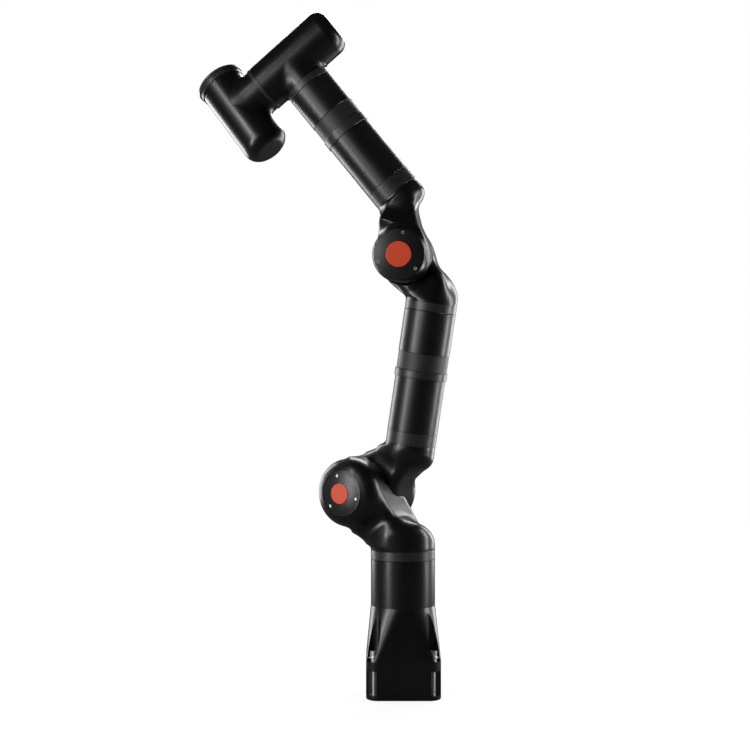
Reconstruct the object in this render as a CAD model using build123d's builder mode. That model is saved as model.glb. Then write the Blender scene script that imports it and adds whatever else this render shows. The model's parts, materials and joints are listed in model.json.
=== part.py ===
from build123d import *
import os
from math import cos, radians, sin

# A seven-axis collaborative robot arm, shown in a raised, slightly bent working pose.
# Frame: millimetres, +Z up, X to the right, the arm's front towards -Y.
# Origin: centre of the base's bottom face.

# ---- driving dimensions -------------------------------------------------------------
# Arm geometry
shoulder_height = 436.0       # J2 axis above the base's bottom face
shoulder_offset = 88.0        # J1 axis to J2 axis, and J2 axis to the upper arm's axis
upper_arm_length = 520.0      # along the upper arm, J2 to J4
elbow_offset = 72.0           # J4 axis to the tube axes on both of its sides
forearm_length = 472.0        # along the forearm, J4 to J6
wrist_offset = 149.0          # along the first wrist, J5 to J7
tool_reach = 85.0             # J6 axis to the tool flange's face

# Pose at rest, in degrees
base_turn = 33.2              # how far the J2 axis is turned away from the front
upper_arm_tilt = 9.8          # J2, away from vertical
elbow_roll = 26.0             # J3
elbow_bend = 47.6             # J4
wrist_roll = -92.6            # J5
tool_roll = 15.5              # J6

# Clearances
joint_gap = 0.6               # between the turning faces at a joint
slip_gap = 0.3                # round a piece that is dropped into a bore
bearing_gap = 0.05            # radial, hub in its bearing
screw_gap = 0.2               # radial, round a screw's shank or head

# Base
base_width = 160.0            # square foot
base_foot_height = 82.0       # ledge for the holding-down screws
base_corner_radius = 26.0
base_height = 192.0           # top of the casting, where the J1 housing starts
base_wall = 9.0
base_floor = 12.0
base_screw_spacing = 124.0
base_pocket_radius = 14.5
base_edge = 3.0
scallop_radius = 11.0
scallop_bottom = 10.0
scallop_top = 62.0
foot_screw_radius = 6.0       # M12
foot_shank_radius = 5.7       # waisted, above the thread
foot_head_radius = 9.0
foot_head_height = 12.0
foot_socket_radius = 5.0
foot_socket_depth = 6.0
foot_washer_radius = 12.0
foot_washer_thickness = 2.5
foot_sleeve_radius = 8.5
foot_sleeve_height = 7.0
foot_screw_reach = 18.0       # below the base's bottom face

# Connector panel on the back of the base
panel_width = 96.0
panel_height = 56.0
panel_thickness = 3.0
panel_centre_height = 42.0
panel_corner_radius = 5.0
connector_radii = (11.0, 9.0, 9.0)
connector_pitch = 29.0
connector_length = 12.0
connector_core_share = 0.62
connector_cavity_depth = 8.0
contact_radius = 1.2
contact_ring_share = 0.4
contact_height = 4.0
contact_count = 5

# J1
column_radius = 70.0
column_wall = 8.0
j1_face_height = 292.0
j1_ring_top = 312.0

# Casting of each joint that has a side-mounted barrel
casting_wall = 8.0
web_thickness = 8.0
shoulder_barrel_radius = 74.0
shoulder_barrel_depth = 97.0
shoulder_nose_radius = 46.0
shoulder_nose_depth = 110.0
upper_barrel_radius = 79.0
upper_barrel_depth = 74.0
elbow_barrel_radius = 58.0
elbow_lower_depth = 66.0
elbow_upper_depth = 104.0
elbow_nose_radius = 52.0
elbow_nose_depth = 109.0
back_edge = 16.0              # rounding of a closed barrel's back
neighbour_room = 3.2          # between a barrel and the shoulder of the link beside it
end_step = 1.0                # the blend meets the tube end this much inside it
end_flat = 0.5                # a round section drawn as a square leaves this much flat
blend_inset = 1.5             # the blend starts this far behind the joint's face
waist_share = 0.8             # where the blend's middle section stands, and its depth
waist_centre_share = 0.38
waist_round_share = 0.3
hollow_share = 0.4            # a tube end's hollow, of its outer radius
hollow_shift_share = 0.46     # how far the hollow stands off the tube's axis
cable_way_share = 0.55
cable_way_depth_share = 0.33

# Caps of J2 and J4
cap_thickness = 5.0
cap_rise = 5.0
cap_ledge = 10.0              # width of the ledge that a cap sits on
shoulder_disc_radius = 22.0
elbow_disc_radius = 26.5
disc_thickness = 3.0
disc_recess = 2.0
cap_screw_radius = 2.0
cap_screw_head_radius = 3.6
cap_screw_head_height = 2.4
cap_screw_length = 9.0
cap_screw_inset = 7.0         # from the cap's edge to the screw's centre
cap_screw_sink = 2.2          # a head's seat below the nose's rim
disc_edge = 1.2
shoulder_screw_angle = 45.0
elbow_screw_angle = 40.0
cap_screw_count = 3

# Upper arm, distances along its axis from the level of J2
upper_band_start = 123.5
upper_tube_start = 151.0
upper_ridge_start = 267.5
upper_seal_start = 283.5
upper_tube_restart = 321.0
upper_tube_end = 411.5
upper_tube_radius = 54.5
upper_top_radius = 55.5
upper_wall = 5.0
ridge_height = 1.4
seal_depth = 0.8
j3_ring_length = 18.5

# Forearm, distances along its axis from the level of J4
fore_band_start = 112.0
fore_tube_start = 144.0
fore_ridge_start = 275.0
fore_seal_start = 294.0
fore_tube_restart = 331.0
fore_tube_end = 405.5
fore_radius = 52.0
fore_wall = 5.0
j5_ring_length = 15.0

# Wrists
wrist_radius = 51.0
wrist_wall = 6.0
wrist_joint = 74.5            # from a wrist's centre to its output joint
wrist_cap_start = 57.0        # from a wrist's centre to its cap seam
wrist_cap_end = 121.0
wrist_cap_round = 26.0
branch_step = 0.6             # a branch is this much slimmer than its tube
j6_ring_length = 9.0
tool_wrist_radius = 49.5
tool_cap_start = 66.0
tool_cap_end = 120.0
tool_cap_round = 24.0

# Tool flange
flange_radius = 54.0
flange_thickness = 10.0
flange_pilot_radius = 31.5
flange_pilot_depth = 6.0
flange_hole_circle = 80.0
flange_hole_count = 4
flange_hole_radius = 3.4      # M8 thread
flange_insert_radius = 5.0
flange_hole_angle = 58.0
dowel_radius = 4.0
dowel_angle = 103.0
dowel_count = 2
cable_bore = 13.0             # hollow shaft through every joint
flange_neck = 4.0             # the slimmer step behind the flange
flange_edge = 0.8
flange_hole_depth = 8.0
flange_wire_radius = 8.0
collar_radius = 51.5
j7_ring_start = 68.0          # from the second wrist's centre
hub_screw_circle = 46.0
hub_screw_count = 6
hub_screw_radius = 2.0
hub_screw_head_radius = 3.5
hub_screw_head_height = 3.0
tool_socket_radius = 14.0
tool_socket_height = 5.0
tool_socket_wall = 2.5
tool_socket_floor = 2.0
tool_contact_circle = 13.0
tool_contact_count = 8
tool_contact_height = 1.8
ring_edge = 0.6               # chamfer on the bands, tubes and plates

# Actuator inside each joint: a gear unit, a motor and an output hub
gear_length = 26.0
hub_lip = 16.0                # bore radius less the hub's radius
motor_length = 30.0
stator_thickness = 11.0
rotor_thickness = 6.0
air_gap = 0.5
shaft_wall = 5.0

os.makedirs("parts", exist_ok=True)


def save(piece, name):
    """Label a finished piece and write it as its own node."""
    piece.label = name
    export_step(piece, f"parts/{name}.step")


# ---- the arm's frames at rest ---------------------------------------------------------
up = Vector(0, 0, 1)
turn = radians(base_turn)
shoulder_normal = Vector(-sin(turn), -cos(turn), 0)
shoulder_right = Vector(cos(turn), -sin(turn), 0)
shoulder_centre = up * shoulder_height - shoulder_right * shoulder_offset
upper_axis = up.rotate(Axis((0, 0, 0), shoulder_normal), -upper_arm_tilt)
upper_side = shoulder_right.rotate(Axis((0, 0, 0), shoulder_normal), -upper_arm_tilt)
upper_start = shoulder_centre + upper_side * shoulder_offset
elbow_normal = shoulder_normal.rotate(Axis((0, 0, 0), upper_axis), elbow_roll)
elbow_side = upper_side.rotate(Axis((0, 0, 0), upper_axis), elbow_roll)
elbow_centre = upper_start + upper_axis * upper_arm_length - elbow_side * elbow_offset
fore_axis = upper_axis.rotate(Axis((0, 0, 0), elbow_normal), elbow_bend)
fore_side = elbow_side.rotate(Axis((0, 0, 0), elbow_normal), elbow_bend)
fore_start = elbow_centre + fore_side * elbow_offset
wrist_centre = fore_start + fore_axis * forearm_length
wrist_axis = elbow_normal.rotate(Axis((0, 0, 0), fore_axis), wrist_roll)
tool_centre = wrist_centre + wrist_axis * wrist_offset
tool_axis = fore_axis.rotate(Axis((0, 0, 0), wrist_axis), tool_roll)

column_line = Plane((0, 0, 0), x_dir=(1, 0, 0), z_dir=up)
upper_line = Plane(upper_start, x_dir=upper_side, z_dir=upper_axis)
fore_line = Plane(fore_start, x_dir=fore_side, z_dir=fore_axis)
wrist_line = Plane(wrist_centre, x_dir=fore_axis, z_dir=wrist_axis)
tool_line = Plane(tool_centre, x_dir=wrist_axis, z_dir=tool_axis)

# Casting frames: z towards the barrel's closed or capped end, y towards the link's tube
shoulder_frame = Plane(shoulder_centre, x_dir=-shoulder_right, z_dir=shoulder_normal)
upper_frame = Plane(shoulder_centre, x_dir=-upper_side, z_dir=-shoulder_normal)
elbow_lower_frame = Plane(elbow_centre, x_dir=elbow_side, z_dir=-elbow_normal)
elbow_upper_frame = Plane(elbow_centre, x_dir=fore_side, z_dir=elbow_normal)


# ---- repeated shapes --------------------------------------------------------------------
def ring(name, line, start, end, outer, inner, edge=0.0):
    """A plain ring about a line, from start to end along it."""
    with BuildPart() as band:
        with BuildSketch(line.offset(start)):
            Circle(outer)
            Circle(inner, mode=Mode.SUBTRACT)
        extrude(amount=end - start)
        if edge:
            rims = band.edges().filter_by(GeomType.CIRCLE).sort_by(SortBy.RADIUS)[-2:]
            chamfer(rims, edge)
    save(band.part, name)


def casting(name, frame, offset, radius, depth, neighbour, tube_radius, tube_end, nose=None):
    """A link casting: a barrel on the joint axis, blended into a tube end beside it.

    The barrel is closed at its back, or has a nose (radius, depth, screw angle) for a cap.
    The neighbour is the radius of the barrel on the other side of the joint."""
    side = 1 if offset > 0 else -1
    face = joint_gap / 2
    tip = nose[1] if nose else depth
    clear = neighbour + neighbour_room
    middle = radius * waist_share
    taper = middle / tube_end
    middle_width = 2 * (radius + (tube_radius - radius) * taper)
    bore_start = face if nose else face + web_thickness
    hollow_start = clear + casting_wall
    end_radius = tube_radius - end_step
    far = 2 * tube_end
    # across: x as the frame's, y against the barrel; upright: x as the frame's, y along it
    across = Plane(frame.origin, x_dir=frame.x_dir, z_dir=frame.y_dir)
    upright = Plane(frame.origin, x_dir=frame.x_dir, z_dir=-frame.y_dir)
    with BuildPart() as body:
        with BuildSketch(across):
            with Locations((0, -(depth + blend_inset) / 2)):
                RectangleRounded(2 * radius - 2, depth - blend_inset, back_edge)
        with BuildSketch(across.offset(middle)):
            with Locations((offset * taper, -depth * waist_centre_share)):
                RectangleRounded(middle_width, depth * waist_share, depth * waist_round_share)
        with BuildSketch(across.offset(tube_end - casting_wall)):
            with Locations((offset, 0)):
                RectangleRounded(2 * end_radius, 2 * end_radius, end_radius - end_flat)
        loft()
        with BuildSketch(across.offset(tube_end - casting_wall)):
            with Locations((offset, 0)):
                Circle(tube_radius)
        extrude(amount=casting_wall)
        # room for the neighbouring barrel, and for its link when the joint is folded
        with BuildSketch(frame.offset(face)):
            with BuildLine():
                Polyline(
                    (-side * far, -far),
                    (-side * far, clear),
                    (0, clear),
                    (side * (abs(offset) + tube_radius + neighbour_room), tube_end - casting_wall / 2),
                    (side * far, tube_end - casting_wall / 2),
                    (side * far, -far),
                    close=True,
                )
            make_face()
        extrude(amount=far, dir=-frame.z_dir, mode=Mode.SUBTRACT)
        with BuildSketch(upright):
            with BuildLine():
                Polyline((0, tip), (0, face), (radius, face), (radius, depth - back_edge))
                if nose:
                    Polyline((radius, depth - back_edge), (radius, depth), (nose[0] + 2, tip), (0, tip))
                else:
                    RadiusArc((radius, depth - back_edge), (radius - back_edge, depth), -back_edge)
                    Line((radius - back_edge, depth), (0, depth))
            make_face()
        revolve(axis=Axis(frame.origin, frame.z_dir))
        # the bore in the barrel, the hollow of the tube end and the cable way between them
        with BuildSketch(frame.offset(bore_start)):
            Circle(radius - casting_wall)
        extrude(amount=depth - casting_wall - bore_start, mode=Mode.SUBTRACT)
        with BuildSketch(across.offset(hollow_start)):
            with Locations((offset, -tube_radius * hollow_shift_share)):
                Circle(tube_radius * hollow_share)
        extrude(amount=tube_end - web_thickness - hollow_start, mode=Mode.SUBTRACT)
        with BuildSketch(across.offset(tube_end)):
            with Locations((offset, 0)):
                Circle(cable_bore)
        extrude(amount=-2 * web_thickness, mode=Mode.SUBTRACT)
        with BuildSketch(across.offset(radius / 2)):
            with Locations((offset * cable_way_share, -depth * cable_way_depth_share)):
                Circle(cable_bore)
        extrude(amount=hollow_start + casting_wall - radius / 2, mode=Mode.SUBTRACT)
        if nose:
            with BuildSketch(frame.offset(tip)):
                Circle(nose[0])
            extrude(amount=-cap_thickness, mode=Mode.SUBTRACT)
            with BuildSketch(frame.offset(tip)):
                Circle(nose[0] - cap_ledge)
            extrude(amount=depth - tip - 2 * casting_wall, mode=Mode.SUBTRACT)
            with BuildSketch(frame.offset(tip - cap_thickness)):
                with PolarLocations(nose[0] - cap_screw_inset, cap_screw_count, nose[2]):
                    Circle(cap_screw_radius + screw_gap)
            extrude(amount=-cap_screw_length, mode=Mode.SUBTRACT)
        else:
            with BuildSketch(frame.offset(face)):
                Circle(cable_bore)
            extrude(amount=web_thickness, mode=Mode.SUBTRACT)
    save(body.part, name)


def cap(prefix, frame, nose, disc_radius):
    """A domed cap on a casting's nose, its coloured disc and the screws that hold it."""
    outer = nose[0] - slip_gap
    seat = nose[1] - cap_thickness
    top = nose[1] + cap_rise
    head_seat = nose[1] - cap_screw_sink
    screw_circle = nose[0] - cap_screw_inset
    upright = Plane(frame.origin, x_dir=frame.x_dir, z_dir=-frame.y_dir)
    with BuildPart() as lid:
        with BuildSketch(upright):
            with BuildLine():
                Polyline((0, top), (0, seat), (outer, seat), (outer, nose[1]))
                ThreePointArc((outer, nose[1]), (outer * 0.6, nose[1] + cap_rise * 0.7), (0, top))
            make_face()
        revolve(axis=Axis(frame.origin, frame.z_dir))
        with BuildSketch(frame.offset(top - disc_recess)):
            Circle(disc_radius + slip_gap / 2)
        extrude(amount=cap_rise, mode=Mode.SUBTRACT)
        with BuildSketch(frame.offset(seat)):
            with PolarLocations(screw_circle, cap_screw_count, nose[2]):
                Circle(cap_screw_radius + screw_gap)
        extrude(amount=cap_thickness, mode=Mode.SUBTRACT)
        with BuildSketch(frame.offset(head_seat)):
            with PolarLocations(screw_circle, cap_screw_count, nose[2]):
                Circle(cap_screw_head_radius + screw_gap)
        extrude(amount=cap_thickness + cap_rise, mode=Mode.SUBTRACT)
    save(lid.part, f"{prefix}_cap")
    with BuildPart() as disc:
        with BuildSketch(frame.offset(top - disc_recess)):
            Circle(disc_radius)
        extrude(amount=disc_thickness)
        fillet(disc.faces().sort_by(Axis(frame.origin, frame.z_dir))[-1].edges(), disc_edge)
    save(disc.part, f"{prefix}_disc")
    with BuildPart() as screws:
        with BuildSketch(frame.offset(head_seat)):
            with PolarLocations(screw_circle, cap_screw_count, nose[2]):
                Circle(cap_screw_radius)
        extrude(amount=-cap_screw_length)
        with BuildSketch(frame.offset(head_seat)):
            with PolarLocations(screw_circle, cap_screw_count, nose[2]):
                Circle(cap_screw_head_radius)
        extrude(amount=cap_screw_head_height)
        with BuildSketch(frame.offset(head_seat + cap_screw_head_height)):
            with PolarLocations(screw_circle, cap_screw_count, nose[2]):
                RegularPolygon(cap_screw_radius, 6)
        extrude(amount=-cap_screw_head_height / 2, mode=Mode.SUBTRACT)
    save(screws.part, f"{prefix}_cap_screws")


def wrist(name, line, branch_axis, radius, start, end, branch_length):
    """A wrist housing: a tube along its line, with a closed branch to the joint before it."""
    branch = Plane(line.origin, x_dir=line.z_dir, z_dir=branch_axis)
    branch_radius = radius - branch_step
    bore = radius - wrist_wall
    with BuildPart() as body:
        with BuildSketch(line.offset(start)):
            Circle(radius)
        extrude(amount=end - start)
        with BuildSketch(branch):
            Circle(branch_radius)
        extrude(amount=branch_length)
        with BuildSketch(line.offset(start)):
            Circle(bore)
        extrude(amount=end - start, mode=Mode.SUBTRACT)
        with BuildSketch(branch.offset(branch_length)):
            Circle(cable_bore)
        extrude(amount=-branch_length, mode=Mode.SUBTRACT)
    save(body.part, name)


def wrist_cap(name, line, radius, start, end, rounding):
    """The hollow domed cap that closes a wrist's free end, reaching back from its seam."""
    back = Plane(line.origin, x_dir=line.x_dir, z_dir=-line.z_dir)
    with BuildPart() as lid:
        with BuildSketch(back.offset(start)):
            Circle(radius)
        extrude(amount=end - start)
        along = Axis(back.origin, back.z_dir)
        fillet(lid.faces().sort_by(along)[-1].edges(), rounding)
        offset(amount=-wrist_wall, openings=lid.faces().sort_by(along)[0])
    save(lid.part, name)


def actuator(prefix, face, bore):
    """The drive inside one joint. The plane stands on the joint's face, z into the bore."""
    hub = bore - hub_lip
    start = joint_gap / 2 + slip_gap
    motor = start + gear_length + slip_gap
    with BuildPart() as gear:
        with BuildSketch(face.offset(start)):
            Circle(bore - slip_gap)
            Circle(hub + bearing_gap, mode=Mode.SUBTRACT)
        extrude(amount=gear_length - web_thickness)
        with BuildSketch(face.offset(start + gear_length - web_thickness)):
            Circle(bore - slip_gap)
            Circle(cable_bore + shaft_wall, mode=Mode.SUBTRACT)
        extrude(amount=web_thickness)
    save(gear.part, f"{prefix}_gear_unit")
    with BuildPart() as output:
        with BuildSketch(face.offset(-joint_gap / 2)):
            Circle(hub)
            Circle(cable_bore, mode=Mode.SUBTRACT)
        extrude(amount=gear_length - web_thickness)
    save(output.part, f"{prefix}_output_hub")
    with BuildPart() as drive:
        with BuildSketch(face.offset(motor)):
            Circle(bore - slip_gap)
            Circle(bore - slip_gap - stator_thickness, mode=Mode.SUBTRACT)
        extrude(amount=motor_length)
        with BuildSketch(face.offset(motor)):
            Circle(bore - slip_gap - stator_thickness - air_gap)
            Circle(cable_bore, mode=Mode.SUBTRACT)
        extrude(amount=motor_length)
    save(drive.part, f"{prefix}_motor")


# ---- base -------------------------------------------------------------------------------
corner_square = base_width - base_screw_spacing


with BuildPart() as base_casting:
    with BuildSketch():
        RectangleRounded(base_width, base_width, base_corner_radius)
    extrude(amount=base_foot_height)
    with BuildSketch(Plane.XY.offset(base_foot_height)):
        RectangleRounded(base_width, base_width, base_corner_radius)
    with BuildSketch(Plane.XY.offset(base_height)):
        RectangleRounded(2 * column_radius, 2 * column_radius, column_radius - end_flat)
    loft()
    fillet(base_casting.faces().sort_by(Axis.Z)[0].edges(), base_edge)
    # pockets over the screws, and scallops in the corners below them
    with BuildSketch(Plane.XY.offset(base_foot_height)):
        with GridLocations(base_screw_spacing, base_screw_spacing, 2, 2):
            Circle(base_pocket_radius)
        with GridLocations(base_width, base_width, 2, 2):
            Rectangle(corner_square, corner_square)
    extrude(amount=base_height - base_foot_height, mode=Mode.SUBTRACT)
    with BuildSketch(Plane.XY.offset(scallop_bottom)):
        with GridLocations(base_width, base_width, 2, 2):
            Circle(scallop_radius * 2)
    extrude(amount=scallop_top - scallop_bottom, mode=Mode.SUBTRACT)
    with BuildSketch(Plane.XY.offset(base_floor)):
        Circle(column_radius - base_wall)
    extrude(amount=base_height - base_floor, mode=Mode.SUBTRACT)
    with Locations(Plane.XY.offset(base_foot_height)):
        with GridLocations(base_screw_spacing, base_screw_spacing, 2, 2):
            Hole(foot_screw_radius + screw_gap)
    with BuildSketch(Plane.XZ.offset(-base_width / 2)):
        with Locations((0, panel_centre_height)):
            RectangleRounded(
                panel_width + 2 * slip_gap, panel_height + 2 * slip_gap, panel_corner_radius
            )
    extrude(amount=panel_thickness, mode=Mode.SUBTRACT)
    with BuildSketch(Plane.XZ.offset(-base_width / 2)):
        with Locations((0, panel_centre_height)):
            Rectangle(panel_width - 4 * panel_corner_radius, panel_height - 4 * panel_corner_radius)
    extrude(amount=base_width / 2 - column_radius + 2 * base_wall, mode=Mode.SUBTRACT)
save(base_casting.part, "base_casting")

with BuildPart() as base_mounting_screws:
    head_seat = base_foot_height + foot_sleeve_height + foot_washer_thickness
    with BuildSketch(Plane.XY.offset(-foot_screw_reach)):
        with GridLocations(base_screw_spacing, base_screw_spacing, 2, 2):
            Circle(foot_screw_radius)
    extrude(amount=foot_screw_reach)
    with BuildSketch():
        with GridLocations(base_screw_spacing, base_screw_spacing, 2, 2):
            Circle(foot_shank_radius)
    extrude(amount=head_seat)
    with BuildSketch(Plane.XY.offset(head_seat)):
        with GridLocations(base_screw_spacing, base_screw_spacing, 2, 2):
            Circle(foot_head_radius)
    extrude(amount=foot_head_height)
    with BuildSketch(Plane.XY.offset(head_seat + foot_head_height)):
        with GridLocations(base_screw_spacing, base_screw_spacing, 2, 2):
            RegularPolygon(foot_socket_radius, 6)
    extrude(amount=-foot_socket_depth, mode=Mode.SUBTRACT)
save(base_mounting_screws.part, "base_mounting_screws")

with BuildPart() as base_screw_washers:
    with BuildSketch(Plane.XY.offset(base_foot_height)):
        with GridLocations(base_screw_spacing, base_screw_spacing, 2, 2):
            Circle(foot_sleeve_radius)
            Circle(foot_screw_radius + screw_gap, mode=Mode.SUBTRACT)
    extrude(amount=foot_sleeve_height)
    with BuildSketch(Plane.XY.offset(base_foot_height + foot_sleeve_height)):
        with GridLocations(base_screw_spacing, base_screw_spacing, 2, 2):
            Circle(foot_washer_radius)
            Circle(foot_screw_radius + screw_gap, mode=Mode.SUBTRACT)
    extrude(amount=foot_washer_thickness)
save(base_screw_washers.part, "base_screw_washers")

panel_face = Plane.XZ.offset(-base_width / 2)
connector_row = [((i - 1) * connector_pitch, r) for i, r in enumerate(connector_radii)]
with BuildPart() as connector_panel:
    with BuildSketch(panel_face):
        with Locations((0, panel_centre_height)):
            RectangleRounded(panel_width, panel_height, panel_corner_radius)
        for along, radius in connector_row:
            with Locations((along, panel_centre_height)):
                Circle(radius, mode=Mode.SUBTRACT)
    extrude(amount=panel_thickness)
save(connector_panel.part, "connector_panel")

connector_floor = panel_thickness - connector_length + connector_cavity_depth
with BuildPart() as connectors:
    for along, radius in connector_row:
        with BuildSketch(panel_face.offset(panel_thickness)):
            with Locations((along, panel_centre_height)):
                Circle(radius)
        extrude(amount=-connector_length)
        with BuildSketch(panel_face.offset(connector_floor)):
            with Locations((along, panel_centre_height)):
                Circle(radius * connector_core_share)
        extrude(amount=-connector_cavity_depth, mode=Mode.SUBTRACT)
        with BuildSketch(panel_face.offset(connector_floor)):
            with Locations((along, panel_centre_height)):
                with PolarLocations(radius * contact_ring_share, contact_count):
                    Circle(contact_radius)
        extrude(amount=-contact_height)
save(connectors.part, "connectors")

with BuildPart() as j1_housing:
    with BuildSketch(Plane.XY.offset(base_height)):
        Circle(column_radius)
        Circle(column_radius - column_wall, mode=Mode.SUBTRACT)
    extrude(amount=j1_face_height - base_height - joint_gap / 2)
    with BuildSketch(Plane.XY.offset(base_height)):
        Circle(column_radius - column_wall)
        Circle(column_radius - 3 * column_wall, mode=Mode.SUBTRACT)
    extrude(amount=web_thickness)
save(j1_housing.part, "j1_housing")

# ---- link 1: J1's plate, the shoulder casting and J2's cap --------------------------------
shoulder_nose = (shoulder_nose_radius, shoulder_nose_depth, shoulder_screw_angle)
elbow_nose = (elbow_nose_radius, elbow_nose_depth, elbow_screw_angle)
half_gap = joint_gap / 2

ring("j1_ring", column_line, j1_face_height + half_gap, j1_ring_top,
     column_radius, cable_bore, ring_edge)
casting("shoulder_casting", shoulder_frame, -shoulder_offset, shoulder_barrel_radius,
        shoulder_barrel_depth, upper_barrel_radius, column_radius,
        shoulder_height - j1_ring_top, shoulder_nose)
cap("j2", shoulder_frame, shoulder_nose, shoulder_disc_radius)

# ---- link 2: the upper arm ------------------------------------------------------------------
casting("upper_arm_casting", upper_frame, -shoulder_offset, upper_barrel_radius,
        upper_barrel_depth, shoulder_barrel_radius, upper_tube_radius, upper_band_start)
upper_bore = upper_top_radius - upper_wall
upper_stack = (
    ("upper_arm_joint_band", upper_band_start, upper_tube_start, upper_tube_radius),
    ("upper_arm_lower_tube", upper_tube_start, upper_ridge_start, upper_tube_radius),
    ("upper_arm_clamp_ring", upper_ridge_start, upper_seal_start, upper_top_radius + ridge_height),
    ("upper_arm_seal_band", upper_seal_start, upper_tube_restart, upper_top_radius - seal_depth),
    ("upper_arm_upper_tube", upper_tube_restart, upper_tube_end - half_gap, upper_top_radius),
)
for name, start, end, radius in upper_stack:
    ring(name, upper_line, start, end, radius, upper_bore, ring_edge)

# ---- link 3: J3's plate and the elbow's lower casting ---------------------------------------
ring("j3_ring", upper_line, upper_tube_end + half_gap, upper_tube_end + j3_ring_length,
     upper_top_radius, cable_bore, ring_edge)
casting("elbow_lower_casting", elbow_lower_frame, elbow_offset, elbow_barrel_radius,
        elbow_lower_depth, elbow_barrel_radius, upper_top_radius,
        upper_arm_length - upper_tube_end - j3_ring_length)

# ---- link 4: the elbow's upper casting, J4's cap and the forearm ----------------------------
casting("elbow_upper_casting", elbow_upper_frame, elbow_offset, elbow_barrel_radius,
        elbow_upper_depth, elbow_barrel_radius, fore_radius, fore_band_start, elbow_nose)
cap("j4", elbow_upper_frame, elbow_nose, elbow_disc_radius)
fore_bore = fore_radius - fore_wall
fore_stack = (
    ("forearm_joint_band", fore_band_start, fore_tube_start, fore_radius),
    ("forearm_long_tube", fore_tube_start, fore_ridge_start, fore_radius),
    ("forearm_clamp_ring", fore_ridge_start, fore_seal_start, fore_radius + ridge_height),
    ("forearm_seal_band", fore_seal_start, fore_tube_restart, fore_radius - seal_depth),
    ("forearm_short_tube", fore_tube_restart, fore_tube_end - half_gap, fore_radius),
)
for name, start, end, radius in fore_stack:
    ring(name, fore_line, start, end, radius, fore_bore, ring_edge)

# ---- link 5 and link 6: the two wrists ------------------------------------------------------
ring("j5_ring", fore_line, fore_tube_end + half_gap, fore_tube_end + j5_ring_length,
     fore_radius, cable_bore, ring_edge)
wrist("wrist_1_housing", wrist_line, -fore_axis, wrist_radius, -wrist_cap_start,
      wrist_joint - half_gap, forearm_length - fore_tube_end - j5_ring_length)
wrist_cap("wrist_1_cap", wrist_line, wrist_radius, wrist_cap_start, wrist_cap_end, wrist_cap_round)

ring("j6_ring", wrist_line, wrist_joint + half_gap, wrist_joint + j6_ring_length,
     wrist_radius, cable_bore, ring_edge)
wrist("wrist_2_housing", tool_line, -wrist_axis, tool_wrist_radius, -tool_cap_start,
      j7_ring_start, wrist_offset - wrist_joint - j6_ring_length)
wrist_cap("wrist_2_cap", tool_line, tool_wrist_radius, tool_cap_start, tool_cap_end, tool_cap_round)
tool_bore = tool_wrist_radius - wrist_wall
tool_face = tool_reach - flange_thickness
ring("j7_ring", tool_line, j7_ring_start, tool_face - joint_gap, collar_radius, tool_bore, ring_edge)

# ---- link 7: the tool flange ----------------------------------------------------------------
with BuildPart() as tool_flange:
    with BuildSketch(tool_line.offset(tool_face)):
        Circle(collar_radius)
    extrude(amount=flange_neck)
    with BuildSketch(tool_line.offset(tool_face + flange_neck)):
        Circle(flange_radius)
    extrude(amount=flange_thickness - flange_neck)
    rims = tool_flange.edges().filter_by(GeomType.CIRCLE).group_by(SortBy.RADIUS)[-1]
    chamfer(rims, flange_edge)
    with BuildSketch(tool_line.offset(tool_reach)):
        Circle(flange_pilot_radius)
    extrude(amount=-flange_pilot_depth, mode=Mode.SUBTRACT)
    with BuildSketch(tool_line.offset(tool_reach)):
        with PolarLocations(flange_hole_circle / 2, flange_hole_count, flange_hole_angle):
            Circle(flange_insert_radius)
        with PolarLocations(flange_hole_circle / 2, dowel_count, dowel_angle):
            Circle(dowel_radius)
    extrude(amount=-flange_hole_depth, mode=Mode.SUBTRACT)
    with BuildSketch(tool_line.offset(tool_face)):
        Circle(flange_wire_radius)
        with PolarLocations(hub_screw_circle / 2, hub_screw_count):
            Circle(hub_screw_radius + screw_gap)
    extrude(amount=flange_thickness, mode=Mode.SUBTRACT)
save(tool_flange.part, "tool_flange")

with BuildPart() as flange_inserts:
    with BuildSketch(tool_line.offset(tool_reach)):
        with PolarLocations(flange_hole_circle / 2, flange_hole_count, flange_hole_angle):
            Circle(flange_insert_radius)
            Circle(flange_hole_radius, mode=Mode.SUBTRACT)
    extrude(amount=-flange_hole_depth)
save(flange_inserts.part, "flange_inserts")

recess_floor = tool_reach - flange_pilot_depth
with BuildPart() as flange_screws:
    with BuildSketch(tool_line.offset(tool_face)):
        with PolarLocations(hub_screw_circle / 2, hub_screw_count):
            Circle(hub_screw_radius)
    extrude(amount=recess_floor - tool_face)
    with BuildSketch(tool_line.offset(recess_floor)):
        with PolarLocations(hub_screw_circle / 2, hub_screw_count):
            Circle(hub_screw_head_radius)
    extrude(amount=hub_screw_head_height)
    with BuildSketch(tool_line.offset(recess_floor + hub_screw_head_height)):
        with PolarLocations(hub_screw_circle / 2, hub_screw_count):
            RegularPolygon(hub_screw_radius, 6)
    extrude(amount=-hub_screw_head_height / 2, mode=Mode.SUBTRACT)
save(flange_screws.part, "flange_screws")

with BuildPart() as flange_socket:
    with BuildSketch(tool_line.offset(recess_floor)):
        Circle(tool_socket_radius)
    extrude(amount=tool_socket_height)
    with BuildSketch(tool_line.offset(recess_floor + tool_socket_height)):
        Circle(tool_socket_radius - tool_socket_wall)
    extrude(amount=tool_socket_floor - tool_socket_height, mode=Mode.SUBTRACT)
    with BuildSketch(tool_line.offset(recess_floor + tool_socket_floor)):
        with PolarLocations(tool_contact_circle / 2, tool_contact_count):
            Circle(contact_radius)
    extrude(amount=tool_contact_height)
save(flange_socket.part, "flange_socket")

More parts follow.
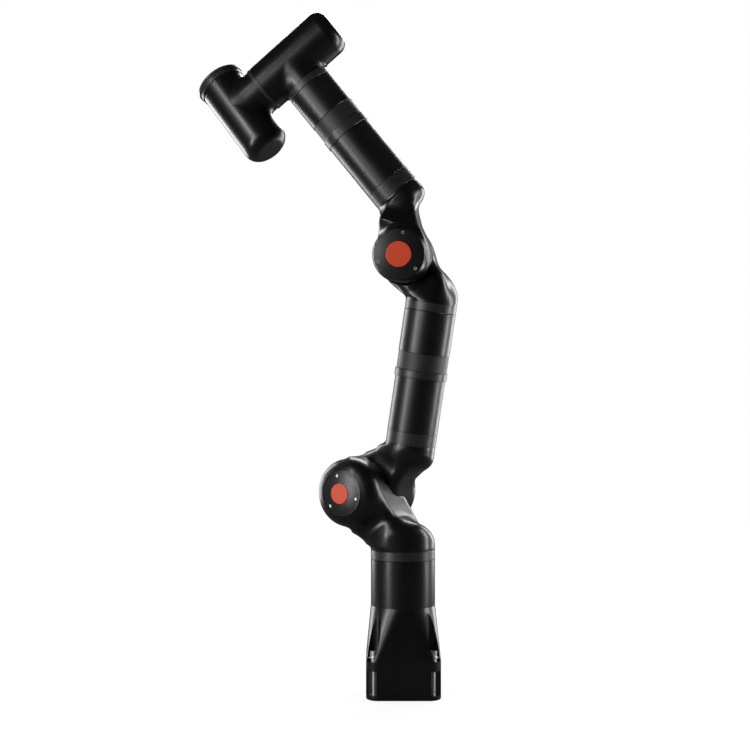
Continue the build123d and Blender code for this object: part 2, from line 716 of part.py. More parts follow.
# ---- the drives in the seven joints ---------------------------------------------------------
drives = (
    ("j1", column_line.offset(j1_face_height), -up, column_radius - column_wall),
    ("j2", shoulder_frame, shoulder_normal, shoulder_barrel_radius - casting_wall),
    ("j3", upper_line.offset(upper_tube_end), -upper_axis, upper_bore),
    ("j4", elbow_upper_frame, elbow_normal, elbow_barrel_radius - casting_wall),
    ("j5", fore_line.offset(fore_tube_end), -fore_axis, fore_bore),
    ("j6", wrist_line.offset(wrist_joint), -wrist_axis, wrist_radius - wrist_wall),
    ("j7", tool_line.offset(tool_face - half_gap), -tool_axis, tool_bore),
)
for prefix, face, inward, bore in drives:
    actuator(prefix, Plane(face.origin, x_dir=face.x_dir, z_dir=inward), bore)
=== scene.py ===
import json
import math

import bmesh
import bpy
import numpy as np
import openvdb
from mathutils import Matrix, Vector


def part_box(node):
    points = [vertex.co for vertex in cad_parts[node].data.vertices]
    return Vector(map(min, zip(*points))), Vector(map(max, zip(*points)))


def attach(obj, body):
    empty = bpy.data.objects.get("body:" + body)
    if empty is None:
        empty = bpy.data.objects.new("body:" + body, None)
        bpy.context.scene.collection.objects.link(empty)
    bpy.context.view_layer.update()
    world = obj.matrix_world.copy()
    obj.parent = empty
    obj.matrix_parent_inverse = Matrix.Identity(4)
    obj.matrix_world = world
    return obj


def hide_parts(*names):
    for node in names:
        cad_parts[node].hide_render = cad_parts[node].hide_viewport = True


# The looks of a seven-axis robot arm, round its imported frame.
# Sizes are millimetres in a piece's own frame, and metres in the arm's.
MM = 0.001

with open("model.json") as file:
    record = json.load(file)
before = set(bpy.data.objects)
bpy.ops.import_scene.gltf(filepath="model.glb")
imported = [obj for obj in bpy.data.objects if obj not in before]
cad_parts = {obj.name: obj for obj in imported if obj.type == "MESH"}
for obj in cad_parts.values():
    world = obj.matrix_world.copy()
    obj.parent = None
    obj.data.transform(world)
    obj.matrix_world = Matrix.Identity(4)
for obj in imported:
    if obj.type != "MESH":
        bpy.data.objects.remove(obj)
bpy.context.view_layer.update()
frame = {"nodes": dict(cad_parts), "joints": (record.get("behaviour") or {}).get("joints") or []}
nodes = frame["nodes"]
scene = bpy.context.scene
joints = {j["name"]: j for j in frame["joints"]}

# ---- sizes repeated from the frame's drawings -----------------------------------------------
HALF_GAP = 0.3
CAP_THICKNESS = 5.0
# A neck's end is (across, along, half width, front), seen from the barrel's axis.
CASTINGS = {
    "shoulder_casting": dict(
        body="link_1", centre="j2_shoulder", toward="j2_cap", tube="j1_base_turn", down=True,
        radius=74.0, depth=97.0, nose=(46.0, 110.0), neighbour=79.0, rim=18.0,
        tube_radius=70.0, tube_end=124.0, tube_start=60.0, tube_round=32.0,
        neck=(62.0, 80.0, 47.0, 62.0), neck_front=93.0, neck_fall=(0.3, 1.15), neck_round=22.0,
        neck_bow=0.0, blend=26.0, shoulder_drop=26.0,
    ),
    "upper_arm_casting": dict(
        body="link_2", centre="j2_shoulder", toward="j2_cap", tube="j3_upper_arm_roll",
        far=True, radius=79.0, depth=74.0, nose=None, neighbour=74.0,
        tube_radius=54.5, tube_end=123.5, tube_start=64.0, tube_round=34.0,
        neck=(58.0, 74.0, 46.0, 52.0), neck_front=74.0, neck_fall=(0.3, 1.0), neck_round=22.0,
        neck_bow=3.0, blend=26.0, shoulder_drop=20.0,
    ),
    "elbow_lower_casting": dict(
        body="link_3", centre="j4_elbow", toward="j4_cap", tube="j3_upper_arm_roll",
        down=True, far=True, radius=58.0, depth=66.0, nose=None, neighbour=58.0,
        tube_radius=55.5, tube_end=90.0, tube_start=34.0, tube_round=40.0,
        neck=(56.0, 56.0, 46.0, 50.0), neck_front=66.0, neck_fall=(0.3, 1.0), neck_round=22.0,
        neck_bow=3.0, blend=24.0, shoulder_drop=30.0,
    ),
    "elbow_upper_casting": dict(
        body="link_4", centre="j4_elbow", toward="j4_cap", tube="j5_forearm_roll",
        radius=58.0, depth=104.0, nose=(52.0, 109.0), neighbour=58.0, rim=12.0,
        tube_radius=52.0, tube_end=112.0, tube_start=64.0, tube_round=26.0,
        neck=(62.0, 92.0, 33.0, 50.0), neck_front=100.0, neck_fall=(0.35, 1.05), neck_round=12.0,
        neck_bow=0.0, blend=22.0, shoulder_drop=10.0,
    ),
}
BARREL_INSIDE = -40.0       # a barrel runs this far behind the joint's face
BARREL_BACK_EDGE = 17.0     # rounding of a closed barrel's back
NOSE_RUN = 2.0              # straight part of the nose's slope
NECK_STEP = 3.0             # the neck starts this much inside the barrel's radius
NECK_BACK = -45.0           # the neck's back at its tube end
DROP_START = 30.0           # where the tube end's shoulder starts to drop, and over what length
DROP_LENGTH = 90.0
TUBE_PAST = 60.0            # the tube end is drawn this far past its ring, then cut there
FADE_LENGTH = 24.0          # length over which the neck gives way to the round tube end
FADE_REACH = 40.0
BARREL_BLEND = 22.0
NEIGHBOUR_ROOM = 3.2        # between a barrel and the link beside it
ROOM_EDGE = 4.0
CASTING_EDGE = 2.5
TUBE_EDGE = 2.0
BRANCH_FADE = 40.0          # a wrist's fillet reaches its full width this far up the branch
MARGIN = 8.0                # empty space kept round a shape while it is made
BORE_SIDES = 160
VOXEL = 2.0
SLOPE_STEP = 0.05
SURFACE_PASSES = 4
SHARP_ANGLE = math.radians(32)
# Cap screws: their seat's height above the joint's centre, head radius and height, socket radius
CAP_SCREW_SEAT = 107.8
CAP_SCREW = (3.6, 2.4, 2.0)
CAP_SCREW_COUNT = 3
J2_SCREW_CIRCLE = 39.0
J4_SCREW_CIRCLE = 45.0


def joint_place(name):
    return Vector(joints[name]["pos_m"])


def joint_axis(name):
    return Vector(joints[name]["axis"]).normalized()


def centre_of(node):
    low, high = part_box(node)
    return (low + high) / 2


def seat(origin, x, y, z):
    """A piece's own frame: its millimetres become metres in the arm's frame."""
    turn = Matrix((x, y, z)).transposed().to_4x4()
    return Matrix.Translation(origin) @ turn @ Matrix.Scale(MM, 4)


# ---- solid shapes, as distances in millimetres ----------------------------------------------
def soft_join(a, b, k):
    """Two bodies joined with a fillet about k wide."""
    h = np.clip(0.5 + 0.5 * (b - a) / k, 0, 1)
    return b * (1 - h) + a * h - k * h * (1 - h)


def soft_cut(a, b, k):
    """The part common to both, its edge rounded about k wide."""
    return -soft_join(-a, -b, k)


def ease(t):
    """A share from 0 to 1 that starts and ends level."""
    return t * t * (3 - 2 * t)


def puck(radial, axial, radius, low, high, edge):
    """A disc or rod with rounded rims."""
    out = radial - (radius - edge)
    along = np.abs(axial - (low + high) / 2) - ((high - low) / 2 - edge)
    outside = np.hypot(np.maximum(out, 0), np.maximum(along, 0))
    return outside + np.minimum(np.maximum(out, along), 0) - edge


def barrel_shape(p, c):
    """A joint's barrel: flat where it meets its neighbour, round or nosed at its far end."""
    x, y, z = p
    radial = np.hypot(x, y)
    if not c["nose"]:
        return puck(radial, z, c["radius"], BARREL_INSIDE, c["depth"], BARREL_BACK_EDGE)
    nose, tip = c["nose"]
    run, rise = c["radius"] - nose - NOSE_RUN, tip - c["depth"]
    slope = ((z - c["depth"]) * run + (radial - c["radius"]) * rise) / math.hypot(run, rise)
    body = soft_cut(radial - c["radius"], slope, c["rim"])
    return np.maximum(np.maximum(body, z - tip), BARREL_INSIDE - z)


def neck_shape(p, c):
    """The neck: a rounded slab from the barrel to the tube end, its front falling to the tube."""
    x, y, z = p
    end_x, end_y, end_width, end_front = c["neck"]
    t = np.clip((x * end_x + y * end_y) / (end_x**2 + end_y**2), 0, 1)
    start_width = c["radius"] - NECK_STEP
    width = start_width + (end_width - start_width) * t
    bow = c["neck_bow"] * 4 * t * (1 - t) / math.hypot(end_x, end_y)
    begin, finish_at = c["neck_fall"]
    fall = np.clip((t - begin) / (finish_at - begin), 0, 1)
    front = c["neck_front"] + (end_front - c["neck_front"]) * ease(fall)
    back = NECK_BACK * ease(t)
    edge = c["neck_round"]
    mid_x, mid_y = end_x * t - end_y * bow, end_y * t + end_x * bow
    side = np.hypot(x - mid_x, y - mid_y) - width + edge
    depth = np.abs(z - (front + back) / 2) - (front - back) / 2 + edge
    rounded = np.hypot(np.maximum(side, 0), np.maximum(depth, 0))
    return rounded + np.minimum(np.maximum(side, depth), 0) - edge


def casting_shape(p, c):
    """The barrel, the tube end beside it, and the neck that flows from one to the other."""
    x, y, z = p
    across = np.hypot(x - c["offset"], z)
    # the tube end's shoulder drops away behind the joint's face
    behind = np.clip((DROP_START - z) / DROP_LENGTH, 0, 1)
    start = c["tube_start"] + c["shoulder_drop"] * ease(behind)
    tube = puck(across, y, c["tube_radius"], start, c["tube_end"] + TUBE_PAST, c["tube_round"])
    body = soft_join(tube, neck_shape(p, c), c["blend"])
    # the blend fades out where the tube end meets its ring
    fade = np.clip((c["tube_end"] - y) / FADE_LENGTH, 0, 1)
    limit = c["tube_radius"] + FADE_REACH * fade * fade
    body = soft_cut(body, across - limit, TUBE_EDGE)
    body = soft_join(body, barrel_shape(p, c), BARREL_BLEND)
    # room for the neighbouring barrel
    room = soft_cut(z - HALF_GAP, np.hypot(x, y) - c["neighbour"] - NEIGHBOUR_ROOM, ROOM_EDGE)
    return soft_cut(body, -room, CASTING_EDGE)


def wrist_shape(p, c):
    """A wrist: the housing along its own line, and the branch to the joint before it."""
    x, y, z = p
    branch = np.maximum(np.hypot(x, z) - c["branch_radius"], -y)
    # the fillet dies away where the branch runs into the housing's sides
    blend = c["blend"] * np.clip(y / BRANCH_FADE, 0.01, 1)
    return soft_join(np.hypot(x, y) - c["radius"], branch, blend)


def solid(name, shape, low, high, place, cuts):
    """The closed surface of a shape, cut flat by planes given as (point, outward normal)."""
    low, high = np.array(low, float), np.array(high, float)
    counts = np.ceil((high - low) / VOXEL).astype(int) + 1
    axes = [low[i] + VOXEL * np.arange(counts[i]) for i in range(3)]
    grid = np.meshgrid(*axes, indexing="ij")
    values = shape(grid).astype(np.float32)
    volume = openvdb.FloatGrid(4.0 * VOXEL)
    volume.copyFromArray(np.clip(values, -4 * VOXEL, 4 * VOXEL))
    points, quads = volume.convertToQuads(isovalue=0.0)
    p = points.astype(float) * VOXEL + low
    for _ in range(SURFACE_PASSES):
        here = shape(p.T)
        sides = [shape((p + e).T) - shape((p - e).T) for e in SLOPE_STEP * np.eye(3)]
        slope = np.stack(sides, axis=1) / (2 * SLOPE_STEP)
        size = np.maximum((slope**2).sum(1), 0.25)
        move = np.clip(here / size, -0.6 * VOXEL, 0.6 * VOXEL)
        p -= slope * move[:, None]
    mesh = bpy.data.meshes.new(name)
    mesh.from_pydata(p.tolist(), [], quads.tolist())
    bm = bmesh.new()
    bm.from_mesh(mesh)
    for point, normal in cuts:
        everything = bm.verts[:] + bm.edges[:] + bm.faces[:]
        bmesh.ops.bisect_plane(bm, geom=everything, dist=1e-4, plane_co=point, plane_no=normal,
                               clear_outer=True)
        rim = [e for e in bm.edges if e.is_boundary]
        bmesh.ops.holes_fill(bm, edges=rim, sides=0)
    bmesh.ops.remove_doubles(bm, verts=bm.verts, dist=1e-3)
    bm.transform(place)
    bmesh.ops.recalc_face_normals(bm, faces=bm.faces)
    bm.to_mesh(mesh)
    bm.free()
    piece = bpy.data.objects.new(name, mesh)
    scene.collection.objects.link(piece)
    return piece


def bore(piece, place, radius, low, high):
    """Cuts a round recess, given in the piece's own frame, with crisp edges."""
    bm = bmesh.new()
    bmesh.ops.create_cone(bm, cap_ends=True, segments=BORE_SIDES, radius1=radius, radius2=radius,
                          depth=high - low)
    bm.transform(place @ Matrix.Translation((0, 0, (low + high) / 2)))
    bmesh.ops.recalc_face_normals(bm, faces=bm.faces)
    mesh = bpy.data.meshes.new("cutter")
    bm.to_mesh(mesh)
    bm.free()
    cutter = bpy.data.objects.new("cutter", mesh)
    scene.collection.objects.link(cutter)
    cut = piece.modifiers.new("recess", "BOOLEAN")
    cut.operation = "DIFFERENCE"
    cut.solver = "EXACT"
    cut.object = cutter
    flatten(piece)
    bpy.data.objects.remove(cutter)


def flatten(piece):
    """Turns a piece's modifiers into its plain mesh."""
    graph = bpy.context.evaluated_depsgraph_get()
    made = bpy.data.meshes.new_from_object(piece.evaluated_get(graph))
    piece.modifiers.clear()
    piece.data = made


def smooth(piece):
    piece.data.shade_smooth()
    piece.data.set_sharp_from_angle(angle=SHARP_ANGLE)


# ---- shader groups -----------------------------------------------------------------------
def group(name, inputs, outputs):
    tree = bpy.data.node_groups.new(name, "ShaderNodeTree")
    for label, value in inputs.items():
        socket = tree.interface.new_socket(label, in_out="INPUT", socket_type="NodeSocketFloat")
        socket.default_value = value
    for label in outputs:
        tree.interface.new_socket(label, in_out="OUTPUT", socket_type="NodeSocketFloat")
    return tree, tree.nodes.new("NodeGroupInput"), tree.nodes.new("NodeGroupOutput")


def noise(tree, scale, detail=4.0, rough=0.55, stretch=(1, 1, 1)):
    """Noise over the piece's own place; the scale is in features per metre."""
    where = tree.nodes.new("ShaderNodeTexCoord")
    mapping = tree.nodes.new("ShaderNodeMapping")
    mapping.inputs["Scale"].default_value = stretch
    tree.links.new(where.outputs["Object"], mapping.inputs["Vector"])
    node = tree.nodes.new("ShaderNodeTexNoise")
    tree.links.new(mapping.outputs["Vector"], node.inputs["Vector"])
    node.inputs["Scale"].default_value = scale
    node.inputs["Detail"].default_value = detail
    node.inputs["Roughness"].default_value = rough
    return node.outputs["Fac"]


def spread(tree, value, low_in, high_in, low_out, high_out):
    """Maps a range of values onto another, clamped."""
    node = tree.nodes.new("ShaderNodeMapRange")
    tree.links.new(value, node.inputs["Value"])
    for label, amount in (("From Min", low_in), ("From Max", high_in),
                          ("To Min", low_out), ("To Max", high_out)):
        if isinstance(amount, (int, float)):
            node.inputs[label].default_value = amount
        else:
            tree.links.new(amount, node.inputs[label])
    return node.outputs["Result"]


def sums(tree, kind, a, b):
    node = tree.nodes.new("ShaderNodeMath")
    node.operation = kind
    for socket, value in zip(node.inputs, (a, b)):
        if isinstance(value, (int, float)):
            socket.default_value = value
        else:
            tree.links.new(value, socket)
    return node.outputs[0]


def paint_skin():
    """Orange peel, fine speckle and handling marks of a sprayed or anodised skin."""
    tree, given, out = group(
        "paint_skin", {"Peel": 0.5, "Speckle": 0.5, "Handling": 0.5}, ("Height", "Marks", "Specks")
    )
    peel = noise(tree, 260.0, 2.0)
    speck = noise(tree, 1500.0, 2.0)
    blotch = noise(tree, 9.0, 5.0, 0.6)
    rubbed = noise(tree, 34.0, 6.0, 0.65, (1, 1, 0.35))
    height = sums(tree, "ADD", sums(tree, "MULTIPLY", peel, given.outputs["Peel"]),
                  sums(tree, "MULTIPLY", speck, given.outputs["Speckle"]))
    marks = sums(tree, "MULTIPLY", sums(tree, "ADD", blotch, rubbed), given.outputs["Handling"])
    tree.links.new(height, out.inputs["Height"])
    tree.links.new(marks, out.inputs["Marks"])
    tree.links.new(spread(tree, speck, 0.56, 0.7, 0.0, 1.0), out.inputs["Specks"])
    return tree


def worn_and_highlit_edges():
    """Outer edges lightened, partly as worn paint and partly as a painted highlight line, and dust
    held in the inner ones.
    """
    tree, given, out = group("worn_and_highlit_edges", {"Worn And Highlit": 0.5}, ("Worn And Highlit", "Dust"))
    geometry = tree.nodes.new("ShaderNodeNewGeometry")
    broken = noise(tree, 120.0, 5.0, 0.7)
    # convex edges: lightened as worn spots and as a painted highlight line
    edge = spread(tree, geometry.outputs["Pointiness"], 0.52, 0.58, 0.0, 1.0)
    hollow = spread(tree, geometry.outputs["Pointiness"], 0.49, 0.44, 0.0, 1.0)
    patchy = spread(tree, broken, 0.42, 0.62, 0.0, 1.0)
    tree.links.new(sums(tree, "MULTIPLY", sums(tree, "MULTIPLY", edge, patchy),
                        given.outputs["Worn And Highlit"]), out.inputs["Worn And Highlit"])
    tree.links.new(sums(tree, "MULTIPLY", hollow, patchy), out.inputs["Dust"])
    return tree


SKIN = paint_skin()
WORN_AND_HIGHLIT_EDGES = worn_and_highlit_edges()


def finish(name, tone, light_tone, roughness, metallic=0.0, peel=0.5, speckle=0.4, handling=0.5,
           wear=0.3, bump=0.08):
    """A material: two tones broken up by marks, with its skin's relief and its worn edges, which
    also carry a painted highlight line.
    """
    material = bpy.data.materials.new(name)
    material.use_nodes = True
    tree = material.node_tree
    shader = tree.nodes["Principled BSDF"]
    skin = tree.nodes.new("ShaderNodeGroup")
    skin.node_tree = SKIN
    skin.inputs["Peel"].default_value = peel
    skin.inputs["Speckle"].default_value = speckle
    skin.inputs["Handling"].default_value = handling
    edges = tree.nodes.new("ShaderNodeGroup")
    edges.node_tree = WORN_AND_HIGHLIT_EDGES
    edges.inputs["Worn And Highlit"].default_value = wear
    tones = tree.nodes.new("ShaderNodeMix")
    tones.data_type = "RGBA"
    tones.inputs["A"].default_value = (*tone, 1)
    tones.inputs["B"].default_value = (*light_tone, 1)
    share = sums(tree, "ADD", spread(tree, skin.outputs["Marks"], 0.3 * handling, 1.7 * handling,
                                     0.0, 0.6),
                 sums(tree, "MULTIPLY", skin.outputs["Specks"], 0.35))
    # the lightened edges go into the base colour: worn spots and a painted highlight line
    tree.links.new(sums(tree, "ADD", share, edges.outputs["Worn And Highlit"]), tones.inputs["Factor"])
    tree.links.new(tones.outputs["Result"], shader.inputs["Base Color"])
    rough = spread(tree, skin.outputs["Marks"], 0.3 * handling, 1.7 * handling,
                   roughness * 0.82, roughness * 1.22)
    tree.links.new(sums(tree, "ADD", rough, sums(tree, "MULTIPLY", edges.outputs["Dust"], 0.12)),
                   shader.inputs["Roughness"])
    relief = tree.nodes.new("ShaderNodeBump")
    relief.inputs["Strength"].default_value = bump
    relief.inputs["Distance"].default_value = 0.0006
    tree.links.new(skin.outputs["Height"], relief.inputs["Height"])
    tree.links.new(relief.outputs["Normal"], shader.inputs["Normal"])
    shader.inputs["Metallic"].default_value = metallic
    return material


FINISHES = {
    "black_casting": finish("satin_black_casting", (0.0018, 0.0018, 0.002), (0.006, 0.006, 0.0065),
                            0.3, peel=0.7, speckle=0.25, wear=0.15, bump=0.05),
    "black_tube": finish("satin_black_tube", (0.003, 0.003, 0.0033), (0.01, 0.01, 0.0105),
                         0.34, peel=0.3, speckle=0.8, wear=0.1, bump=0.06),
    "dark_ring": finish("anodised_dark_ring", (0.012, 0.012, 0.013), (0.034, 0.034, 0.036),
                        0.36, peel=0.2, speckle=0.9, wear=0.5, bump=0.06),
    "seal_black": finish("rubber_seal", (0.011, 0.011, 0.012), (0.026, 0.026, 0.028),
                         0.5, peel=0.2, speckle=1.0, wear=0.1, bump=0.12),
    "cap_black": finish("satin_black_cap", (0.006, 0.006, 0.0065), (0.016, 0.016, 0.017),
                        0.33, peel=0.5, speckle=0.6, wear=0.3, bump=0.06),
    "red_disc": finish("orange_red_disc", (0.72, 0.06, 0.012), (0.82, 0.085, 0.02),
                       0.42, peel=0.4, speckle=0.8, wear=0.1, bump=0.1),
    "screw_steel": finish("turned_steel", (0.55, 0.54, 0.52), (0.75, 0.74, 0.72),
                          0.4, metallic=1.0, peel=0.2, speckle=0.5, wear=0.4, bump=0.06),
    "flange_grey": finish("anodised_flange", (0.014, 0.014, 0.015), (0.05, 0.05, 0.052),
                          0.36, metallic=0.0, peel=0.2, speckle=0.9, wear=0.6, bump=0.06),
    "connector_black": finish("moulded_black", (0.008, 0.008, 0.0085), (0.02, 0.02, 0.021),
                              0.5, peel=0.4, speckle=0.8, wear=0.2, bump=0.1),
    "drive_steel": finish("ground_steel", (0.28, 0.28, 0.28), (0.42, 0.42, 0.42),
                          0.34, metallic=1.0, speckle=0.6, bump=0.08),
    "motor_copper": finish("varnished_winding", (0.16, 0.06, 0.025), (0.26, 0.11, 0.05),
                           0.45, metallic=0.6, speckle=0.8, bump=0.12),
}
SLOT_OF = {}
for node_name, node in nodes.items():
    for holder in node.material_slots:
        slot_name = holder.material.name.split(".")[0]
        if slot_name in FINISHES:
            SLOT_OF[node_name] = slot_name
            holder.material = FINISHES[slot_name]


def dress(piece, body, slot_name, *stands_for):
    """Gives a finished piece its material and its body, and hides the nodes that it stands for."""
    piece.data.materials.clear()
    piece.data.materials.append(FINISHES[slot_name])
    if stands_for:
        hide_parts(*stands_for)
    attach(piece, body)
    return piece


# ---- castings ----------------------------------------------------------------------------
SEATS = {}
for node_name, c in CASTINGS.items():
    origin = joint_place(c["centre"])
    facing = joint_axis(c["centre"])
    if facing.dot(centre_of(c["toward"]) - origin) < 0:
        facing = -facing
    if c.get("far"):
        facing = -facing
    along = joint_axis(c["tube"])
    if c.get("down"):
        along = -along
    across = joint_place(c["tube"]) - origin
    across -= along * across.dot(along)
    c["offset"] = across.length / MM
    place = seat(origin, across.normalized(), along, facing)
    SEATS[node_name] = place
    reach = c["offset"] + c["tube_radius"] + MARGIN
    tip = c["nose"][1] if c["nose"] else c["depth"]
    piece = solid(
        node_name + "_shell", lambda p, c=c: casting_shape(p, c),
        (-c["radius"] - MARGIN, -c["radius"] - MARGIN, -c["tube_radius"] - MARGIN),
        (reach, c["tube_end"] + MARGIN, tip + MARGIN), place,
        [((0, c["tube_end"], 0), (0, 1, 0))],
    )
    if c["nose"]:
        bore(piece, place, c["nose"][0], tip - CAP_THICKNESS, tip + MARGIN)
    smooth(piece)
    dress(piece, c["body"], "black_casting", node_name)


# ---- wrists --------------------------------------------------------------------------------
WRISTS = {
    "wrist_1_housing": dict(
        body="link_5", joint="j6_wrist_roll", joint_height=74.5, branch_joint="j5_forearm_roll",
        radius=51.0, branch_radius=50.4, low=-57.0, high=74.2, branch_end=51.5, blend=12.0,
    ),
    "wrist_2_housing": dict(
        body="link_6", joint="j7_tool_roll", joint_height=74.7, branch_joint="j6_wrist_roll",
        radius=49.5, branch_radius=48.9, low=-66.0, high=68.0, branch_end=65.5, blend=12.0,
    ),
}
for node_name, c in WRISTS.items():
    line = joint_axis(c["joint"])
    origin = joint_place(c["joint"]) - line * c["joint_height"] * MM
    branch = -joint_axis(c["branch_joint"])
    place = seat(origin, branch.cross(line), branch, line)
    edge = c["radius"] + MARGIN
    piece = solid(
        node_name + "_shell", lambda p, c=c: wrist_shape(p, c),
        (-edge, -edge, c["low"] - MARGIN),
        (edge, c["branch_end"] + MARGIN, c["high"] + MARGIN), place,
        [((0, c["branch_end"], 0), (0, 1, 0)), ((0, 0, c["high"]), (0, 0, 1)),
         ((0, 0, c["low"]), (0, 0, -1))],
    )
    smooth(piece)
    dress(piece, c["body"], "black_casting", node_name)


# ---- screws ------------------------------------------------------------------------------------
def screw_tree():
    """Socket-head screws on a circle: a chamfered head with a hexagon socket, repeated."""
    straight_share = 0.75       # of the head's height, below the chamfer
    chamfer_share = 0.86        # of the head's radius, at its top
    socket_lift = 0.95          # of the head's height, to the socket cutter's middle
    head_sides, socket_sides = 40, 6
    tree = bpy.data.node_groups.new("socket_screws", "GeometryNodeTree")
    tree.interface.new_socket("Geometry", in_out="OUTPUT", socket_type="NodeSocketGeometry")
    tree.interface.new_socket("Count", in_out="INPUT", socket_type="NodeSocketInt")
    for label in ("Circle", "Head Radius", "Head Height", "Socket Radius"):
        tree.interface.new_socket(label, in_out="INPUT", socket_type="NodeSocketFloat")
    tree.interface.new_socket("Finish", in_out="INPUT", socket_type="NodeSocketMaterial")
    given = tree.nodes.new("NodeGroupInput")
    out = tree.nodes.new("NodeGroupOutput")

    def sized(value, factor):
        return sums(tree, "MULTIPLY", value, factor)

    def raised(geometry, height):
        offset = tree.nodes.new("ShaderNodeCombineXYZ")
        tree.links.new(height, offset.inputs["Z"])
        move = tree.nodes.new("GeometryNodeTransform")
        tree.links.new(geometry, move.inputs["Geometry"])
        tree.links.new(offset.outputs[0], move.inputs["Translation"])
        return move.outputs["Geometry"]

    circle = tree.nodes.new("GeometryNodeMeshCircle")
    tree.links.new(given.outputs["Count"], circle.inputs["Vertices"])
    tree.links.new(given.outputs["Circle"], circle.inputs["Radius"])
    height, radius = given.outputs["Head Height"], given.outputs["Head Radius"]
    shank = tree.nodes.new("GeometryNodeMeshCylinder")
    shank.inputs["Vertices"].default_value = head_sides
    tree.links.new(radius, shank.inputs["Radius"])
    tree.links.new(sized(height, straight_share), shank.inputs["Depth"])
    rim = tree.nodes.new("GeometryNodeMeshCone")
    rim.inputs["Vertices"].default_value = head_sides
    tree.links.new(radius, rim.inputs["Radius Bottom"])
    tree.links.new(sized(radius, chamfer_share), rim.inputs["Radius Top"])
    tree.links.new(sized(height, 1 - straight_share), rim.inputs["Depth"])
    socket = tree.nodes.new("GeometryNodeMeshCylinder")
    socket.inputs["Vertices"].default_value = socket_sides
    tree.links.new(given.outputs["Socket Radius"], socket.inputs["Radius"])
    tree.links.new(height, socket.inputs["Depth"])
    both = tree.nodes.new("GeometryNodeMeshBoolean")
    both.operation = "UNION"
    for part, lift in ((shank, straight_share / 2), (rim, straight_share)):
        tree.links.new(raised(part.outputs["Mesh"], sized(height, lift)), both.inputs["Mesh 2"])
    cut = tree.nodes.new("GeometryNodeMeshBoolean")
    cut.operation = "DIFFERENCE"
    tree.links.new(both.outputs["Mesh"], cut.inputs["Mesh 1"])
    tree.links.new(raised(socket.outputs["Mesh"], sized(height, socket_lift)), cut.inputs["Mesh 2"])
    spots = tree.nodes.new("GeometryNodeInstanceOnPoints")
    tree.links.new(circle.outputs["Mesh"], spots.inputs["Points"])
    tree.links.new(cut.outputs["Mesh"], spots.inputs["Instance"])
    real = tree.nodes.new("GeometryNodeRealizeInstances")
    tree.links.new(spots.outputs["Instances"], real.inputs["Geometry"])
    painted = tree.nodes.new("GeometryNodeSetMaterial")
    tree.links.new(real.outputs["Geometry"], painted.inputs["Geometry"])
    tree.links.new(given.outputs["Finish"], painted.inputs["Material"])
    tree.links.new(painted.outputs["Geometry"], out.inputs["Geometry"])
    return tree


SCREWS = screw_tree()


def screws(name, body, place, turn, sizes, slot_name, *stands_for):
    """A ring of screws, sizes as (count, circle, head radius, head height, socket radius)."""
    maker = bpy.data.objects.new(name + "_maker", bpy.data.meshes.new(name))
    scene.collection.objects.link(maker)
    made = maker.modifiers.new("screws", "NODES")
    made.node_group = SCREWS
    values = dict(zip(("Count", "Circle", "Head Radius", "Head Height", "Socket Radius"), sizes))
    values["Finish"] = FINISHES[slot_name]
    for item in SCREWS.interface.items_tree:
        if item.item_type == "SOCKET" and item.in_out == "INPUT":
            made[item.identifier] = values[item.name]
    graph = bpy.context.evaluated_depsgraph_get()
    mesh = bpy.data.meshes.new_from_object(maker.evaluated_get(graph))
    bpy.data.objects.remove(maker)
    mesh.transform(place @ Matrix.Rotation(math.radians(turn), 4, "Z"))
    piece = bpy.data.objects.new(name, mesh)
    scene.collection.objects.link(piece)
    smooth(piece)
    return dress(piece, body, slot_name, *stands_for)


shoulder = SEATS["shoulder_casting"]
elbow = SEATS["elbow_upper_casting"]


def turn_of(place, node):
    """The angle of a node's first screw round the place's axis, in degrees."""
    local = place.inverted()
    points = [local @ v.co for v in nodes[node].data.vertices]
    highest = max(p.z for p in points)
    near = [p for p in points if p.z > highest - 0.3]
    first = max(near, key=lambda p: (round(p.x), p.y))
    group_of = [p for p in near if (p - first).length < 12]
    middle = sum(group_of, Vector()) / len(group_of)
    return math.degrees(math.atan2(middle.y, middle.x))


def lifted(place, height):
    return place @ Matrix.Translation((0, 0, height))


screws("j2_cap_screw_heads", "link_1", lifted(shoulder, CAP_SCREW_SEAT),
       turn_of(shoulder, "j2_cap_screws"), (CAP_SCREW_COUNT, J2_SCREW_CIRCLE, *CAP_SCREW),
       "screw_steel", "j2_cap_screws")
screws("j4_cap_screw_heads", "link_4", lifted(elbow, CAP_SCREW_SEAT),
       turn_of(elbow, "j4_cap_screws"), (CAP_SCREW_COUNT, J4_SCREW_CIRCLE, *CAP_SCREW),
       "screw_steel", "j4_cap_screws")

# ---- camera, light and floor ----------------------------------------------------------------
camera = bpy.data.objects.new("camera", bpy.data.cameras.new("camera"))
scene.collection.objects.link(camera)
camera.location = (-0.0608, -2.6895, 0.6341)
camera.rotation_euler = (math.radians(90), 0, 0)
camera.data.sensor_width = 36.0
camera.data.lens = 59.34
camera.data.shift_y = 0.0348
camera.data.clip_end = 60.0
scene.camera = camera

scene.view_settings.view_transform = "Standard"
world = bpy.data.worlds.new("studio")
scene.world = world
world.use_nodes = True
sky = world.node_tree
sky.nodes.clear()
seen = sky.nodes.new("ShaderNodeBackground")
seen.inputs["Color"].default_value = (1, 1, 1, 1)
seen.inputs["Strength"].default_value = 1.0
felt = sky.nodes.new("ShaderNodeBackground")
felt.inputs["Color"].default_value = (1, 1, 1, 1)
felt.inputs["Strength"].default_value = 0.03
path = sky.nodes.new("ShaderNodeLightPath")
choice = sky.nodes.new("ShaderNodeMixShader")
result = sky.nodes.new("ShaderNodeOutputWorld")
sky.links.new(path.outputs["Is Camera Ray"], choice.inputs[0])
sky.links.new(felt.outputs[0], choice.inputs[1])
sky.links.new(seen.outputs[0], choice.inputs[2])
sky.links.new(choice.outputs[0], result.inputs["Surface"])


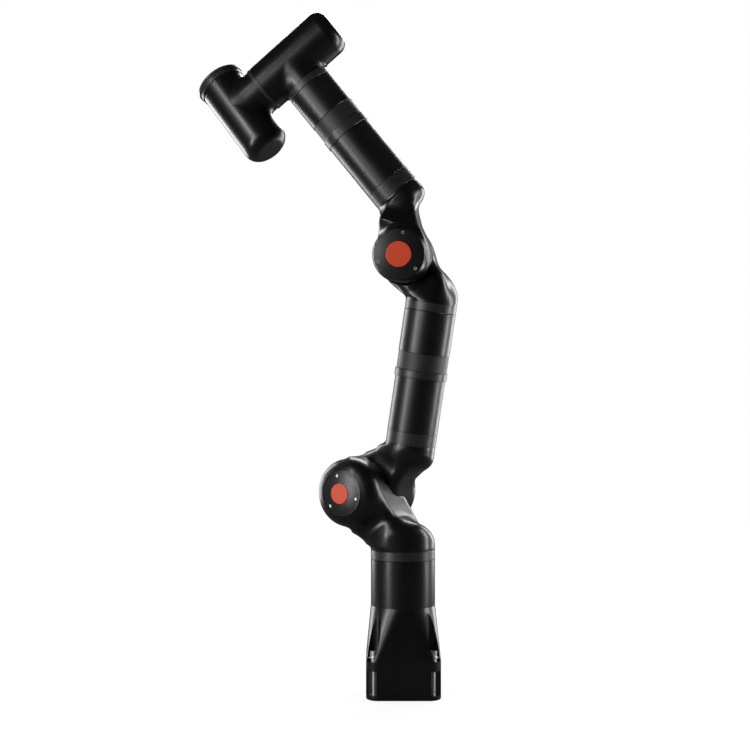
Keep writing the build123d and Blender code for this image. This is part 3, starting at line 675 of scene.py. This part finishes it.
def softbox(name, azimuth, distance, height, size, power, tilt=0.0):
    """A rectangular soft light; azimuth 0 stands at the front and 90 to the right."""
    light = bpy.data.lights.new(name, "AREA")
    light.shape = "RECTANGLE"
    light.size, light.size_y = size
    light.energy = power
    lamp = bpy.data.objects.new(name, light)
    scene.collection.objects.link(lamp)
    a = math.radians(azimuth)
    lamp.location = (distance * math.sin(a), -distance * math.cos(a), height)
    target = Vector((0, 0, height + tilt))
    lamp.rotation_euler = (target - lamp.location).to_track_quat("-Z", "Y").to_euler()
    return lamp


# Narrow lights draw the highlights down the tubes; wide ones behind draw the rims.
softbox("key_left", -54, 2.4, 0.9, (0.34, 2.6), 46)
softbox("edge_right", 92, 2.2, 0.9, (0.34, 2.6), 46)
softbox("rim_left", -132, 2.4, 0.9, (0.9, 2.6), 50)
softbox("rim_right", 134, 2.4, 0.9, (0.9, 2.6), 50)
softbox("back_top", 176, 2.0, 2.5, (1.8, 0.8), 46, tilt=-1.9)
softbox("front_left", -36, 3.0, 1.2, (0.5, 1.3), 12, tilt=-0.3)

floor_mesh = bpy.data.meshes.new("floor")
span = 30.0
floor_mesh.from_pydata(
    [(-span, -span, -0.0005), (span, -span, -0.0005), (span, span, -0.0005),
     (-span, span, -0.0005)], [], [(0, 1, 2, 3)])
floor = bpy.data.objects.new("floor", floor_mesh)
scene.collection.objects.link(floor)
paper = bpy.data.materials.new("studio_paper")
paper.use_nodes = True
paper_shader = paper.node_tree.nodes["Principled BSDF"]
paper_shader.inputs["Base Color"].default_value = (0.12, 0.12, 0.12, 1)
paper_shader.inputs["Roughness"].default_value = 0.9
paper_shader.inputs["Specular IOR Level"].default_value = 0.0
paper_shader.inputs["Emission Color"].default_value = (1, 1, 1, 1)
paper_tree = paper.node_tree
paper_place = paper_tree.nodes.new("ShaderNodeTexCoord")
paper_far = paper_tree.nodes.new("ShaderNodeVectorMath")
paper_far.operation = "LENGTH"
paper_tree.links.new(paper_place.outputs["Object"], paper_far.inputs[0])
paper_glow = spread(paper_tree, paper_far.outputs["Value"], 0.3, 1.6, 0.9, 1.0)
paper_path = paper_tree.nodes.new("ShaderNodeLightPath")
paper_tree.links.new(sums(paper_tree, "MULTIPLY", paper_glow, paper_path.outputs["Is Camera Ray"]),
                     paper_shader.inputs["Emission Strength"])
floor_mesh.materials.append(paper)
